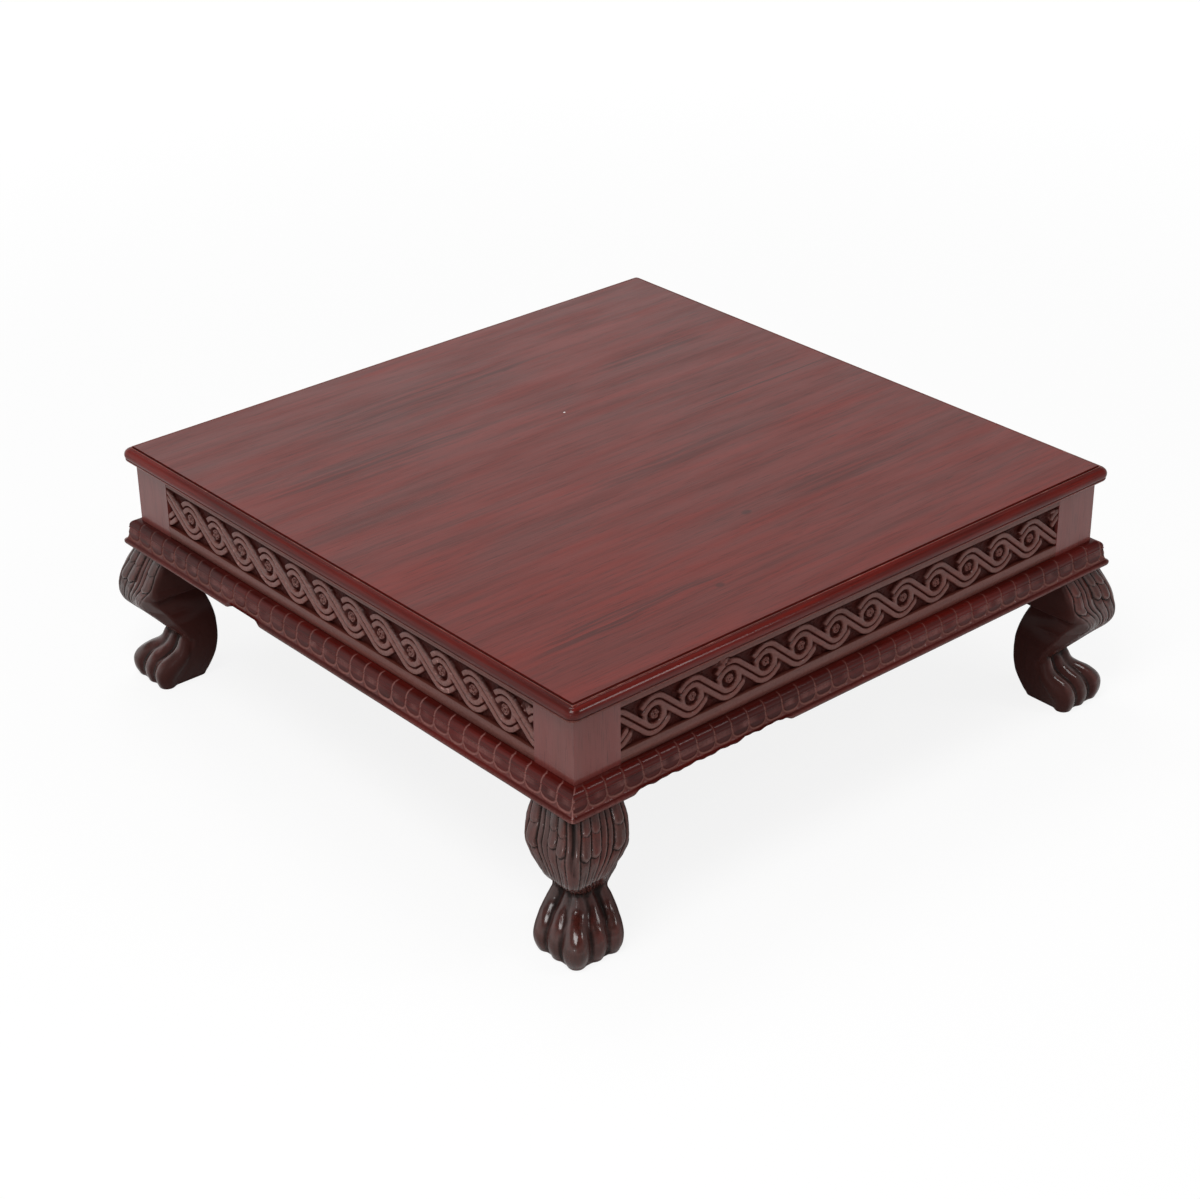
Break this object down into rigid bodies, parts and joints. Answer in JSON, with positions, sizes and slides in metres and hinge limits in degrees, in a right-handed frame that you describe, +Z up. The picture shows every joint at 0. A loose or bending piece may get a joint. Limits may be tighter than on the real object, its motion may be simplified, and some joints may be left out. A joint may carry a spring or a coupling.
{
  "type": "low table",
  "caption": "Square low table in red-brown varnished wood: moulded top, guilloche carved apron, coin-moulded base frame and cabriole lion-paw legs.",
  "frame": {"origin": "centre of the table at floor level, midway between the feet", "axes": "+Z up from the floor to the top; X and Y along the square top's sides, with the panel's grain along X; the front side faces -Y"},
  "size_m": [0.635, 0.635, 0.229],
  "materials": {
    "panel_wood": "mahogany stain under clear gloss varnish",
    "moulding_wood": "dark red mahogany stain under clear gloss varnish",
    "carved_wood": "red-brown stain under clear gloss varnish, darker in the ground",
    "post_wood": "red-brown stain under clear gloss varnish",
    "leg_wood": "dark brown-red stain under clear gloss varnish",
    "inner_wood": "bare sawn wood with stain round its edges",
    "screw_steel": "dull zinc plate"
  },
  "bodies": {
    "root": {"top_panel": "panel_wood", "top_edge_front": "moulding_wood", "top_edge_right": "moulding_wood", "top_edge_back": "moulding_wood", "top_edge_left": "moulding_wood", "carved_rail_front": "carved_wood", "carved_rail_right": "carved_wood", "carved_rail_back": "carved_wood", "carved_rail_left": "carved_wood", "corner_post_front_right": "post_wood", "corner_post_back_right": "post_wood", "corner_post_back_left": "post_wood", "corner_post_front_left": "post_wood", "base_moulding_front": "moulding_wood", "base_moulding_right": "moulding_wood", "base_moulding_back": "moulding_wood", "base_moulding_left": "moulding_wood", "leg_front_right": "leg_wood", "leg_back_right": "leg_wood", "leg_back_left": "leg_wood", "leg_front_left": "leg_wood", "batten_right": "inner_wood", "batten_left": "inner_wood", "glue_blocks": "inner_wood", "leg_dowels": "inner_wood", "batten_screws": "screw_steel", "frame_screws": "screw_steel"}
  },
  "joints": []
}
